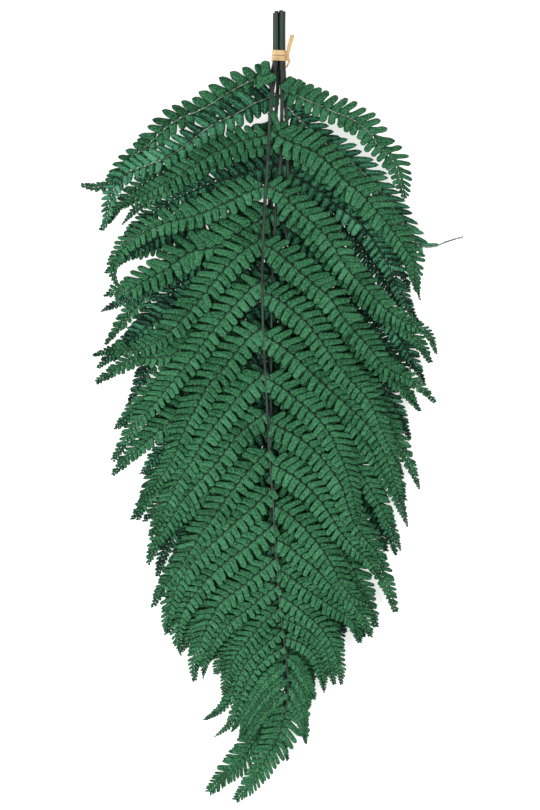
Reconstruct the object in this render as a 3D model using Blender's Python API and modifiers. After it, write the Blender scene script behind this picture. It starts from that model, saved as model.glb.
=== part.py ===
# A bunch of five bracken fronds, held together near the cut stem ends by a flat raffia tie.
# It lies on a flat surface. Metres, +Z up, +Y from the frond tips to the cut ends, +X across.
# The origin is on the surface, under the middle of the bunch.
import math
import random

import bmesh
import bpy
from mathutils import Vector

# Driving dimensions
BUNCH_LENGTH = 0.600        # cut ends to the lowest frond tip
STEM_RADIUS = 0.00155       # stipe at the tie
RACHIS_END_RADIUS = 0.0006  # rachis where the frond's uncut tip begins
STEM_PITCH = 0.0035         # between stems side by side in the tie
BLADE_THICKNESS = 0.0007
PINNA_HALF_WIDTH = 0.0138   # rib to pinnule tip on a long pinna
TIP_HALF_WIDTH = 0.0095     # the same on the frond's uncut tip
TIP_TEETH = 5
RIB_HALF_WIDTH = 0.0011
PINNA_BOW = math.radians(17)

RAFFIA_THICKNESS = 0.0007
RAFFIA_WIDTH = 0.0034
RAFFIA_SLANT = math.radians(2.5)
TIE_GAP = 0.00050           # raffia to stem

# The fronds lie in layers, highest in the middle of the bunch
EDGE_HEIGHT = 0.0004        # lowest layer where its pinna tips touch the surface
MIDDLE_HEIGHT = 0.0105      # lowest layer under the middle of the bunch
EDGE_LAYER_GAP = 0.0033
MIDDLE_LAYER_GAP = 0.0052
WIDE_HALF_SPREAD = 0.150    # side of the arch, at the widest row
NARROW_HALF_SPREAD = 0.060  # the same at the tips
PINNA_LIFT = 0.0004         # pinnae leave the rachis a little above its middle
SHINGLE_TILT = 0.24         # share of a layer gap by which a pinna's tip-side edge rises
CROWN = 0.16                # share of a layer gap by which both of its edges droop

# Places on the bunch are columns and rows of a 540 x 810 picture of it, seen from above
TOP_ROW = 10
TIP_ROW = 801
TIE_ROW = 60
FANNED_ROW = 112            # the stems have parted into their layers here
WIDEST_ROW = 150
WRAP_ROWS = (52.2, 57.3)
KNOT_PLACE = (288.1, 56.5)
MIDDLE_PLACE = (272.5, 404.5)
PIXEL = BUNCH_LENGTH / (TIP_ROW - TOP_ROW)
STEM_STEP = 30              # rows between the points of a stem

LOW_STEM_HEIGHT = RAFFIA_THICKNESS + (STEM_RADIUS + TIE_GAP) * math.cos(math.radians(15))
HIGH_STEM_HEIGHT = LOW_STEM_HEIGHT + STEM_PITCH * math.cos(math.radians(30))

# Each frond: its layer, its height in the tie, the row of its uncut tip, its pinnule pitch,
# its stem's route, and its pinnae, each by the row where it leaves the stem and its own tip
FRONDS = {
    "frond_1": {
        "layer": 4,
        "tie_height": HIGH_STEM_HEIGHT,
        "tip_row": 702,
        "pitch": 0.027,
        "route": [(276.4, 11), (276.4, 60), (270.8, 104), (268.2, 158), (265.5, 215), (262.6, 273),
                  (262.7, 320), (265.6, 365), (268.5, 420), (271.5, 480), (275, 540), (279, 600),
                  (283.5, 640), (288, 680), (286.5, 705), (278, 735), (262, 764), (235, 800)],
        "left": [(136, 112, 212), (187, 118, 262), (240, 92, 355), (282, 113, 461), (328, 138, 503),
                 (372, 146, 540), (413, 148, 566), (450, 160, 592), (490, 156, 609), (525, 172, 630),
                 (558, 186, 656), (585, 197, 680), (608, 211, 692), (628, 220, 706), (646, 229, 716),
                 (662, 237, 725), (677, 245, 733), (691, 251, 740)],
        "right": [(127, 415, 292), (187, 437, 355), (246, 437, 403), (293, 404, 476), (337, 415, 508),
                  (380, 372, 545), (424, 386, 568), (465, 383, 596), (505, 375, 618), (540, 368, 648),
                  (571, 357, 660), (597, 341, 685), (618, 335, 692), (637, 325, 694), (654, 318, 704),
                  (669, 311, 712), (683, 307, 724), (696, 303, 734)],
    },
    "frond_2": {
        "layer": 3,
        "tie_height": HIGH_STEM_HEIGHT,
        "tip_row": 690,
        "pitch": 0.035,
        "route": [(281.2, 10), (281.2, 60), (281, 104), (280, 158), (276, 215), (273, 273),
                  (272, 320), (271, 365), (271, 440), (271, 520), (271, 600), (268, 660),
                  (261, 720), (245, 757), (208, 795)],
        "left": [(158, 121, 224), (212, 103, 296), (266, 98, 381), (318, 114, 430), (366, 113, 475),
                 (410, 132, 520), (450, 142, 560), (488, 152, 600), (522, 165, 632), (554, 180, 655),
                 (584, 190, 678), (612, 197, 692), (638, 204, 708), (662, 208, 724)],
        "right": [(87, 417, 228), (152, 424, 300), (210, 431, 364), (264, 420, 412), (313, 420, 491),
                  (360, 408, 528), (405, 401, 552), (447, 396, 614), (487, 376, 628), (522, 364, 650),
                  (554, 350, 674), (584, 332, 690), (612, 318, 704), (638, 306, 716), (662, 295, 726)],
    },
    "frond_3": {
        "layer": 2,
        "tie_height": LOW_STEM_HEIGHT,
        "tip_row": 650,
        "pitch": 0.040,
        "route": [(283.6, 13), (283.6, 60), (285.7, 104), (287.5, 158), (286, 230), (284, 300),
                  (283, 400), (284, 500), (288, 600), (294, 660), (300, 705), (306, 744)],
        "left": [(164, 118, 236), (222, 100, 312), (280, 98, 368), (332, 118, 430), (378, 120, 480),
                 (422, 135, 530), (463, 150, 570), (500, 160, 610), (534, 175, 640), (566, 190, 668),
                 (596, 206, 690), (624, 222, 706)],
        "right": [(107, 466, 236), (172, 418, 322), (228, 425, 385), (282, 410, 440), (332, 404, 500),
                  (378, 396, 556), (422, 385, 590), (463, 370, 620), (500, 364, 645), (534, 350, 666),
                  (566, 341, 688), (596, 331, 706), (624, 324, 722)],
    },
    "frond_4": {
        "layer": 1,
        "tie_height": LOW_STEM_HEIGHT,
        "tip_row": 632,
        "pitch": 0.040,
        "route": [(278.8, 12), (278.8, 60), (276.5, 104), (272, 180), (269, 230), (264, 300),
                  (258, 400), (254, 500), (248, 600), (238, 665), (225, 708), (212, 737)],
        "left": [(100, 100, 230), (160, 104, 274), (218, 96, 384), (270, 112, 420), (320, 125, 470),
                 (368, 138, 520), (412, 148, 560), (455, 156, 602), (495, 168, 634), (532, 180, 660),
                 (566, 188, 686), (598, 195, 703)],
        "right": [(165, 400, 262), (222, 415, 340), (274, 415, 395), (324, 405, 450), (370, 398, 505),
                  (415, 390, 550), (457, 375, 590), (497, 352, 630), (533, 332, 656), (566, 308, 680),
                  (598, 288, 700)],
    },
    "frond_5": {
        "layer": 0,
        "tie_height": LOW_STEM_HEIGHT,
        "tip_row": 645,
        "pitch": 0.040,
        "route": [(274.2, 15), (274.2, 60), (271.6, 75), (271, 104), (271, 158), (272, 230),
                  (274, 320), (274, 420), (272, 520), (270, 620), (273, 690), (281, 735), (288, 761)],
        "left": [(72, 78, 184), (168, 106, 252), (225, 108, 330), (280, 120, 390), (330, 128, 450),
                 (378, 142, 500), (424, 152, 548), (466, 166, 590), (506, 180, 622), (542, 196, 650),
                 (576, 214, 676), (610, 232, 700)],
        "right": [(160, 395, 230), (220, 412, 310), (276, 420, 372), (326, 410, 425), (374, 402, 480),
                  (420, 392, 532), (462, 380, 572), (502, 364, 606), (540, 350, 640), (576, 336, 672),
                  (610, 320, 702)],
    },
}


def on_surface(column, row):
    """A place in the picture, in metres on the surface."""
    return Vector(((column - MIDDLE_PLACE[0]) * PIXEL, (MIDDLE_PLACE[1] - row) * PIXEL))


def row_of(y):
    return MIDDLE_PLACE[1] - y / PIXEL


def smooth_step(value):
    value = min(max(value, 0.0), 1.0)
    return value * value * (3.0 - 2.0 * value)


def fullness(x, y):
    """1 over the middle of the bunch, 0 at its sides and its tip."""
    along = min(max((row_of(y) - TIE_ROW) / (TIP_ROW - TIE_ROW), 0.0), 1.0)
    narrowing = min(max((row_of(y) - WIDEST_ROW) / (TIP_ROW - WIDEST_ROW), 0.0), 1.0) ** 1.15
    half_spread = WIDE_HALF_SPREAD + (NARROW_HALF_SPREAD - WIDE_HALF_SPREAD) * narrowing
    across = 0.5 + 0.5 * math.cos(math.pi * min(abs(x) / half_spread, 1.0))
    return math.sin(math.pi * along) ** 0.6 * across ** 0.8


def layer_gap(x, y):
    """Height between two neighbouring layers."""
    fanned = smooth_step((row_of(y) - TIE_ROW) / (FANNED_ROW - TIE_ROW))
    return fanned * (EDGE_LAYER_GAP + (MIDDLE_LAYER_GAP - EDGE_LAYER_GAP) * fullness(x, y))


def layer_height(frond, x, y):
    """Height of a frond's middle surface: even in the tie, then fanned out into its layer."""
    fanned = smooth_step((row_of(y) - TIE_ROW) / (FANNED_ROW - TIE_ROW))
    lowest = EDGE_HEIGHT + (MIDDLE_HEIGHT - EDGE_HEIGHT) * fullness(x, y)
    fanned_height = lowest * fanned + frond["layer"] * layer_gap(x, y)
    return frond["tie_height"] * (1.0 - fanned) + fanned_height


def stem_place(frond, row):
    """A point of the stem at a row: a smooth curve through the route's points."""
    route = frond["route"]
    if row <= TIE_ROW:
        return on_surface(route[0][0], row)
    last = len(route) - 2
    index = 0
    while index < last and row > route[index + 1][1]:
        index += 1
    before = route[max(index - 1, 0)]
    start = route[index]
    end = route[index + 1]
    after = route[min(index + 2, last + 1)]
    run = end[1] - start[1]
    share = (row - start[1]) / run
    slope_in = (end[0] - before[0]) / (end[1] - before[1]) * run
    slope_out = (after[0] - start[0]) / (after[1] - start[1]) * run
    ease_in = share * (1.0 - share) ** 2
    ease_out = share * share * (share - 1.0)
    blend = smooth_step(share)
    column = start[0] * (1.0 - blend) + end[0] * blend + slope_in * ease_in + slope_out * ease_out
    return on_surface(column, row)


def pinna_curve(root, tip, side):
    """A pinna's midrib from above: it leaves flatter than its chord and ends steeper."""
    chord = tip - root
    reach = chord.length * 0.36
    out = chord.normalized()
    across = Vector((-out.y, out.x)) * side
    first = root + (out * math.cos(PINNA_BOW) + across * math.sin(PINNA_BOW)) * reach
    second = tip - (out * math.cos(PINNA_BOW) - across * math.sin(PINNA_BOW)) * reach

    def place(share):
        rest = 1.0 - share
        start = root * rest ** 3 + first * (3.0 * rest * rest * share)
        return start + second * (3.0 * rest * share * share) + tip * share ** 3

    return place


def width_share(share):
    """A pinna's width along its rib: full near the stem, then a long thin tail."""
    return min(1.0, 0.72 + 2.4 * share) * max(0.05, 1.0 - share ** 2.1) ** 0.85


def comb_sheet(name, frond, shape, tilt):
    """One pinna as an open sheet: a rib with its pinnules cut to it on both sides."""
    curve, start, half_width, teeth, blunt = shape
    mesh = bmesh.new()

    def add(share, sideways, edge):
        middle = curve(share)
        ahead = (curve(min(share + 0.01, 1.0)) - curve(max(share - 0.01, 0.0))).normalized()
        place = middle + Vector((-ahead.y, ahead.x)) * sideways
        gap = layer_gap(place.x, place.y)
        bend = (tilt * edge - CROWN * edge * edge) * gap
        height = layer_height(frond, place.x, place.y) + PINNA_LIFT + bend
        return mesh.verts.new((place.x, place.y, max(height, BLADE_THICKNESS / 2)))

    stations = [start + (0.93 - start) * index / teeth for index in range(teeth + 1)]
    rib = [(add(0.0, RIB_HALF_WIDTH, 0.0), add(0.0, -RIB_HALF_WIDTH, 0.0))]
    for share in stations:
        rib_half = RIB_HALF_WIDTH * (1.0 - 0.45 * share)
        rib.append((add(share, rib_half, 0.0), add(share, -rib_half, 0.0)))
    for inner, outer in zip(rib, rib[1:]):
        mesh.faces.new((inner[0], inner[1], outer[1]))
        mesh.faces.new((inner[0], outer[1], outer[0]))
    end = add(1.0, 0.0, 0.0)
    mesh.faces.new((rib[-1][0], rib[-1][1], end))
    for index in range(teeth):
        step = stations[index + 1] - stations[index]
        for edge in (1, -1):
            side = 0 if edge == 1 else 1
            near = rib[index + 1][side]
            far = rib[index + 2][side]
            reach = half_width * width_share(stations[index] + step * 0.6)
            if blunt:
                first = add(stations[index] + step * 0.42, edge * reach * 0.94, edge)
                second = add(stations[index] + step * 0.92, edge * reach, edge)
                outline = [near, far, second, first]
            else:
                outline = [near, far, add(stations[index] + step * 0.80, edge * reach, edge)]
            if edge == -1:
                outline.reverse()
            for corner in range(1, len(outline) - 1):
                mesh.faces.new((outline[0], outline[corner], outline[corner + 1]))
    data = bpy.data.meshes.new(name)
    mesh.normal_update()
    mesh.to_mesh(data)
    mesh.free()
    return thick_sheet(name, data, BLADE_THICKNESS)


def thick_sheet(name, data, thickness):
    """A sheet's object, given its thickness evenly about its middle."""
    sheet = bpy.data.objects.new(name, data)
    solidify = sheet.modifiers.new("Thickness", "SOLIDIFY")
    solidify.thickness = thickness
    solidify.offset = 0.0
    return sheet


def as_mesh_object(source, name):
    """A closed mesh object of a source object as it is evaluated, in the source's place."""
    bpy.context.view_layer.update()
    evaluated = source.evaluated_get(bpy.context.evaluated_depsgraph_get())
    data = bpy.data.meshes.new_from_object(evaluated)
    data.transform(source.matrix_world)
    mesh = bmesh.new()
    mesh.from_mesh(data)
    bmesh.ops.remove_doubles(mesh, verts=mesh.verts, dist=0.00001)
    bmesh.ops.triangulate(mesh, faces=mesh.faces)
    mesh.to_mesh(data)
    mesh.free()
    data.name = name
    bpy.data.objects.remove(source)
    return bpy.data.objects.new(name, data)


def stem_tube(name, frond):
    """A frond's stipe and rachis, as one tapering tube."""
    first_row = frond["route"][0][1]
    last_row = frond["tip_row"] + 8
    rows = [first_row, TIE_ROW + 1]
    while rows[-1] < last_row:
        fanning = rows[-1] < FANNED_ROW
        rows.append(min(rows[-1] + (STEM_STEP / 2 if fanning else STEM_STEP), last_row))
    curve = bpy.data.curves.new(name + "_stem", "CURVE")
    curve.dimensions = "3D"
    curve.bevel_depth = STEM_RADIUS
    curve.bevel_resolution = 1
    curve.use_fill_caps = True
    spline = curve.splines.new("POLY")
    spline.points.add(len(rows) - 1)
    for point, row in zip(spline.points, rows):
        place = stem_place(frond, row)
        height = layer_height(frond, place.x, place.y)
        point.co = (place.x, place.y, height, 1.0)
        thinned = max(0.0, (row - TIE_ROW) / (last_row - TIE_ROW)) ** 0.8
        point.radius = 1.0 - thinned * (1.0 - RACHIS_END_RADIUS / STEM_RADIUS)
    tube = bpy.data.objects.new(name + "_stem", curve)
    bpy.context.scene.collection.objects.link(tube)
    return as_mesh_object(tube, name)


def join(base, pieces):
    """The base and all the pieces fused into one body."""
    group = bpy.data.collections.new(base.name + "_pieces")
    bpy.context.scene.collection.children.link(group)
    for piece in pieces:
        group.objects.link(piece)
    PART.objects.link(base)
    union = base.modifiers.new("Union", "BOOLEAN")
    union.operation = "UNION"
    union.operand_type = "COLLECTION"
    union.collection = group
    bpy.context.view_layer.update()
    evaluated = base.evaluated_get(bpy.context.evaluated_depsgraph_get())
    fused = bpy.data.meshes.new_from_object(evaluated)
    base.modifiers.remove(union)
    base.data = fused
    for piece in pieces:
        bpy.data.objects.remove(piece)
    bpy.data.collections.remove(group)
    return base


def finish(name, base_colour, roughness):
    material = bpy.data.materials.new(name)
    material.use_nodes = True
    shader = material.node_tree.nodes["Principled BSDF"]
    shader.inputs["Base Color"].default_value = (*base_colour, 1.0)
    shader.inputs["Roughness"].default_value = roughness
    shader.inputs["Metallic"].default_value = 0.0
    return material


def build_frond(name, frond, leaf):
    """A frond grown in one piece: stem, pinnae on both sides and the uncut tip."""
    draw = random.Random(name)
    blunt = frond["layer"] == 4
    pieces = []
    for side_name, side in (("left", -1), ("right", 1)):
        for row, column_end, row_end in frond[side_name]:
            root = stem_place(frond, row)
            tip = on_surface(column_end, row_end)
            length = (tip - root).length
            curve = pinna_curve(root, tip, side)
            half_width = min(PINNA_HALF_WIDTH, 0.003 + 0.155 * length) * draw.uniform(0.94, 1.04)
            teeth = max(2, round(length / frond["pitch"]))
            start = 0.0042 / length
            shape = (curve, start, half_width, teeth, blunt)
            pieces.append(comb_sheet(name + "_pinna", frond, shape, -side * SHINGLE_TILT))
    end_row = frond["route"][-1][1]

    def tip_curve(share):
        return stem_place(frond, frond["tip_row"] + (end_row - frond["tip_row"]) * share)

    shape = (tip_curve, 0.06, TIP_HALF_WIDTH, TIP_TEETH, blunt)
    pieces.append(comb_sheet(name + "_tip", frond, shape, 0.0))
    body = join(stem_tube(name, frond), pieces)
    body.data.materials.clear()
    body.data.materials.append(leaf)
    return body


def stem_centres():
    """Where the five stems' middles lie in the tie, across and up."""
    centres = []
    for frond in FRONDS.values():
        place = stem_place(frond, 55)
        centres.append((place.x, frond["tie_height"]))
    return centres


def raffia_loop():
    """The inside of the tie seen along the stems: stretched round them, flat below."""
    centres = stem_centres()
    reach = STEM_RADIUS + TIE_GAP
    points = []
    for step in range(24):
        angle = math.radians(15 * step)
        direction = (math.cos(angle), math.sin(angle))
        outer = max(centres, key=lambda centre: centre[0] * direction[0] + centre[1] * direction[1])
        across = outer[0] + reach * direction[0]
        up = max(outer[1] + reach * direction[1], RAFFIA_THICKNESS)
        points.append((across, up))
    return points


def raffia_wrap(row):
    """One flat turn of raffia round the stems."""
    curve = bpy.data.curves.new("wrap", "CURVE")
    curve.dimensions = "2D"
    curve.fill_mode = "NONE"
    curve.extrude = RAFFIA_WIDTH / 2
    spline = curve.splines.new("POLY")
    points = raffia_loop()
    middle = sum(point[0] for point in points) / len(points)
    spline.points.add(len(points) - 1)
    for point, (across, up) in zip(spline.points, points):
        point.co = (across - middle, up, 0.0, 1.0)
    spline.use_cyclic_u = True
    wrap = bpy.data.objects.new("wrap", curve)
    wrap.location = (middle, on_surface(0, row).y, 0.0)
    wrap.rotation_euler = (math.radians(90), 0.0, RAFFIA_SLANT)
    bpy.context.scene.collection.objects.link(wrap)
    ring = as_mesh_object(wrap, "wrap")
    solidify = ring.modifiers.new("Thickness", "SOLIDIFY")
    solidify.thickness = RAFFIA_THICKNESS
    solidify.offset = 1.0
    solidify.use_even_offset = True
    return ring


def raffia_tail(name, places, widths):
    """A loose end of the raffia: a flat strip along its places, each a column, row and height."""
    mesh = bmesh.new()
    edges = []
    for (column, row, height), width in zip(places, widths):
        middle = on_surface(column, row)
        left = mesh.verts.new((middle.x - width / 2, middle.y, height))
        right = mesh.verts.new((middle.x + width / 2, middle.y, height))
        edges.append((left, right))
    for near, far in zip(edges, edges[1:]):
        mesh.faces.new((near[0], near[1], far[1]))
        mesh.faces.new((near[0], far[1], far[0]))
    bmesh.ops.recalc_face_normals(mesh, faces=mesh.faces)
    data = bpy.data.meshes.new(name)
    mesh.to_mesh(data)
    mesh.free()
    return thick_sheet(name, data, RAFFIA_THICKNESS)


def raffia_knot():
    """The small flattened knot at the tie's right side."""
    place = on_surface(*KNOT_PLACE)
    bpy.ops.mesh.primitive_uv_sphere_add(segments=12, ring_count=8, radius=1.0)
    knot = bpy.context.object
    knot.name = "knot"
    knot.data.transform(knot.matrix_world)
    for vertex in knot.data.vertices:
        vertex.co.x = place.x + vertex.co.x * 0.0014
        vertex.co.y = place.y + vertex.co.y * 0.0030
        vertex.co.z = LOW_STEM_HEIGHT + 0.0006 + vertex.co.z * 0.0017
    return as_mesh_object(knot, "knot")


def build_tie(raffia):
    """Two turns of raffia, the knot and its two loose ends, as one piece."""
    base = raffia_wrap(WRAP_ROWS[0])
    height = LOW_STEM_HEIGHT + 0.0006
    tail_places = [(288.1, 57, height), (289, 50, height + 0.0008), (291, 42, height + 0.0014),
                   (293, 34, height + 0.0012)]
    tail_widths = (0.0016, 0.0026, 0.0030, 0.0029)
    end_places = [(288.2, 56, height), (288.8, 61, height + 0.0003), (288.5, 67, height - 0.0004)]
    end_widths = (0.0018, 0.0013, 0.0004)
    pieces = [
        raffia_wrap(WRAP_ROWS[1]),
        raffia_knot(),
        raffia_tail("tail", tail_places, tail_widths),
        raffia_tail("short_end", end_places, end_widths),
    ]
    bpy.context.scene.collection.objects.link(base)
    ring = as_mesh_object(base, "raffia_tie")
    tie = join(ring, pieces)
    tie.data.materials.clear()
    tie.data.materials.append(raffia)
    return tie


for leftover in list(bpy.data.objects):
    bpy.data.objects.remove(leftover)

PART = bpy.data.collections.new("bracken_bunch")
bpy.context.scene.collection.children.link(PART)

leaf_upper = finish("leaf_upper_side", (0.035, 0.165, 0.065), 0.6)
leaf_lower = finish("leaf_lower_side", (0.012, 0.070, 0.034), 0.65)
raffia_straw = finish("raffia", (0.62, 0.42, 0.20), 0.7)

for frond_name, frond_plan in FRONDS.items():
    under_side_up = frond_plan["layer"] in (1, 2)
    build_frond(frond_name, frond_plan, leaf_lower if under_side_up else leaf_upper)
build_tie(raffia_straw)
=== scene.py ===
"""A tied bunch of preserved bracken fronds, lying on a pale table and seen from straight above."""

import math
import random

import bpy
import numpy as np
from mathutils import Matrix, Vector, noise


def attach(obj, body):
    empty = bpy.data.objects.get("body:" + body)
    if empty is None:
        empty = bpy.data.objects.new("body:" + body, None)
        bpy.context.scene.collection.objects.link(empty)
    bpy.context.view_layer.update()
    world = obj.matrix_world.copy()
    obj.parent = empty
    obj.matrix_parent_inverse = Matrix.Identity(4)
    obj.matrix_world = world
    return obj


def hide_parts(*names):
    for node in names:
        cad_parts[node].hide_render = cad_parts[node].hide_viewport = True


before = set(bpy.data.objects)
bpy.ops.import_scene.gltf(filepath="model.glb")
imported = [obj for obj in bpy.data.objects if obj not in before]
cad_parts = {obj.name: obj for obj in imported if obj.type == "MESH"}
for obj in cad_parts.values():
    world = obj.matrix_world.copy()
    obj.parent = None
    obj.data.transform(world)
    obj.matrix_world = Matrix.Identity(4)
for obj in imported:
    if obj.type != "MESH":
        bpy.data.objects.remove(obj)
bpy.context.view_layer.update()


# The sheet that the bunch is laid out on.
# Places are columns and rows of a 540 x 810 picture of the bunch, seen from above, with the
# cut ends at the top. The bunch is 600 mm long from its cut ends to its lowest tip.
BUNCH_LENGTH = 0.600
TOP_ROW = 10
TIP_ROW = 801
MIDDLE_PLACE = (272.5, 404.5)
PIXEL = BUNCH_LENGTH / (TIP_ROW - TOP_ROW)


def on_surface(column, row):
    """A place in the picture, in metres on the table."""
    return np.array(((column - MIDDLE_PLACE[0]) * PIXEL, (MIDDLE_PLACE[1] - row) * PIXEL))


def row_of(y):
    return MIDDLE_PLACE[1] - y / PIXEL


def deselect_all():
    """Leaves nothing selected, so that an operator acts on the new piece alone."""
    if bpy.context.object and bpy.context.object.mode != "OBJECT":
        bpy.ops.object.mode_set(mode="OBJECT")
    bpy.ops.object.select_all(action="DESELECT")


def linear(colour, alpha=1.0):
    """An sRGB hex colour as linear light."""
    parts = [int(colour[start:start + 2], 16) / 255 for start in (1, 3, 5)]
    light = [part / 12.92 if part <= 0.04045 else ((part + 0.055) / 1.055) ** 2.4 for part in parts]
    return (*light, alpha)


def new_material(name):
    """A material and its Principled shader."""
    material = bpy.data.materials.new(name)
    material.use_nodes = True
    return material, material.node_tree.nodes["Principled BSDF"]


def add(material, kind, inputs=(), **settings):
    """Adds a shader node with its settings. Each input is a value or another node's output."""
    tree = material.node_tree
    made = tree.nodes.new(kind)
    for setting, value in settings.items():
        setattr(made, setting, value)
    for socket, value in dict(inputs).items():
        if isinstance(value, bpy.types.NodeSocket):
            tree.links.new(value, made.inputs[socket])
        else:
            made.inputs[socket].default_value = value
    return made


def colour_ramp(material, factor, stops):
    """A ramp of hex colours at their places along the factor."""
    ramp = add(material, "ShaderNodeValToRGB", {"Fac": factor})
    points = ramp.color_ramp.elements
    while len(points) < len(stops):
        points.new(1.0)
    for point, (place, colour) in zip(points, stops):
        point.position = place
        point.color = linear(colour)
    return ramp.outputs["Color"]


# The table, the studio light and the camera.
# A plain opal acrylic light table, faintly lit from inside, under two broad soft boxes and a pale
# room, as for a catalogue. The camera hangs straight above on a long lens, with the cut ends up.
TABLE_SIZE = 6.0
TABLE_DROP = 0.0002
TABLE_COLOUR = "#f4f4f3"
TABLE_GLOW = 0.70
ROOM_LIGHT = 0.46
# Each soft box: its name, its place, its width and its power
SOFT_BOXES = (
    ("soft_box_left", (-1.2, -0.9, 1.6), 1.2, 34.0),
    ("soft_box_right", (1.3, 0.5, 1.8), 1.5, 13.0),
)
CAMERA_LENS = 200.0
CAMERA_SENSOR = 36.0
CAMERA_SIGHT = 20.0
PICTURE_MIDDLE = (270, 405)
PICTURE_ROWS = 810
LEAF_HEIGHT = 0.012

deselect_all()
bpy.ops.mesh.primitive_plane_add(size=TABLE_SIZE, location=(0, 0, -TABLE_DROP))
table = bpy.context.object
table.name = "table_top"
table_white, shader = new_material("opal_acrylic")
shader.inputs["Base Color"].default_value = linear(TABLE_COLOUR)
shader.inputs["Emission Color"].default_value = linear(TABLE_COLOUR)
shader.inputs["Emission Strength"].default_value = TABLE_GLOW
shader.inputs["Roughness"].default_value = 0.85
shader.inputs["Specular IOR Level"].default_value = 0.2
table.data.materials.append(table_white)

room = bpy.data.worlds.new("pale_room")
bpy.context.scene.world = room
room.use_nodes = True
room.node_tree.nodes["Background"].inputs["Color"].default_value = (1.0, 1.0, 1.0, 1.0)
room.node_tree.nodes["Background"].inputs["Strength"].default_value = ROOM_LIGHT

for light_name, place, size, power in SOFT_BOXES:
    light = bpy.data.lights.new(light_name, "AREA")
    light.shape = "SQUARE"
    light.size = size
    light.energy = power
    soft_box = bpy.data.objects.new(light_name, light)
    soft_box.location = place
    soft_box.rotation_euler = (-Vector(place)).to_track_quat("-Z", "Y").to_euler()
    bpy.context.scene.collection.objects.link(soft_box)

lens = bpy.data.cameras.new("camera_above")
lens.lens = CAMERA_LENS
lens.sensor_width = CAMERA_SENSOR
lens.clip_end = CAMERA_SIGHT
camera = bpy.data.objects.new("camera_above", lens)
camera_place = on_surface(*PICTURE_MIDDLE)
camera_distance = PICTURE_ROWS * PIXEL / CAMERA_SENSOR * CAMERA_LENS
camera.location = (camera_place[0], camera_place[1], LEAF_HEIGHT + camera_distance)
bpy.context.scene.collection.objects.link(camera)
bpy.context.scene.camera = camera
bpy.context.scene.view_settings.view_transform = "Standard"


# How the five fronds lie on each other.
# Each keeps to its own layer, highest in the middle of the bunch and drooping to its sides.
# In the tie the stems are bundled two on three, and below it they part into their layers.
EDGE_HEIGHT = 0.0004
MIDDLE_HEIGHT = 0.0105
EDGE_LAYER_GAP = 0.0033
MIDDLE_LAYER_GAP = 0.0052
WIDE_HALF_SPREAD = 0.150
NARROW_HALF_SPREAD = 0.060
PINNA_LIFT = 0.0004
SHINGLE_TILT = 0.24
CROWN = 0.16
TIE_ROW = 60
FANNED_ROW = 112
WIDEST_ROW = 150
STEM_RADIUS = 0.00155
STEM_PITCH = 0.0035
RAFFIA_THICKNESS = 0.0007
TIE_GAP = 0.00050
LOW_STEM_SLANT = math.radians(15)
HIGH_STEM_SLANT = math.radians(30)
LOW_STEM_HEIGHT = RAFFIA_THICKNESS + (STEM_RADIUS + TIE_GAP) * math.cos(LOW_STEM_SLANT)
HIGH_STEM_HEIGHT = LOW_STEM_HEIGHT + STEM_PITCH * math.cos(HIGH_STEM_SLANT)


def smooth_step(value):
    value = np.clip(value, 0.0, 1.0)
    return value * value * (3.0 - 2.0 * value)


def fullness(x, y):
    """1 over the middle of the bunch, 0 at its sides and its tip. The powers round it off."""
    along = np.clip((row_of(y) - TIE_ROW) / (TIP_ROW - TIE_ROW), 0.0, 1.0)
    narrowing = np.clip((row_of(y) - WIDEST_ROW) / (TIP_ROW - WIDEST_ROW), 0.0, 1.0) ** 1.15
    half_spread = WIDE_HALF_SPREAD + (NARROW_HALF_SPREAD - WIDE_HALF_SPREAD) * narrowing
    across = 0.5 + 0.5 * np.cos(np.pi * np.minimum(np.abs(x) / half_spread, 1.0))
    return np.maximum(np.sin(np.pi * along), 0.0) ** 0.6 * across ** 0.8


def fanned_share(y):
    """0 in the tie, 1 where the stems have parted into their layers."""
    return smooth_step((row_of(y) - TIE_ROW) / (FANNED_ROW - TIE_ROW))


def layer_gap(x, y):
    """Height between two neighbouring layers."""
    return fanned_share(y) * (EDGE_LAYER_GAP + (MIDDLE_LAYER_GAP - EDGE_LAYER_GAP) * fullness(x, y))


def layer_height(frond, x, y):
    """Height of a frond's middle surface."""
    fanned = fanned_share(y)
    lowest = EDGE_HEIGHT + (MIDDLE_HEIGHT - EDGE_HEIGHT) * fullness(x, y)
    return frond["tie_height"] * (1.0 - fanned) + lowest * fanned + frond["layer"] * layer_gap(x, y)


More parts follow.
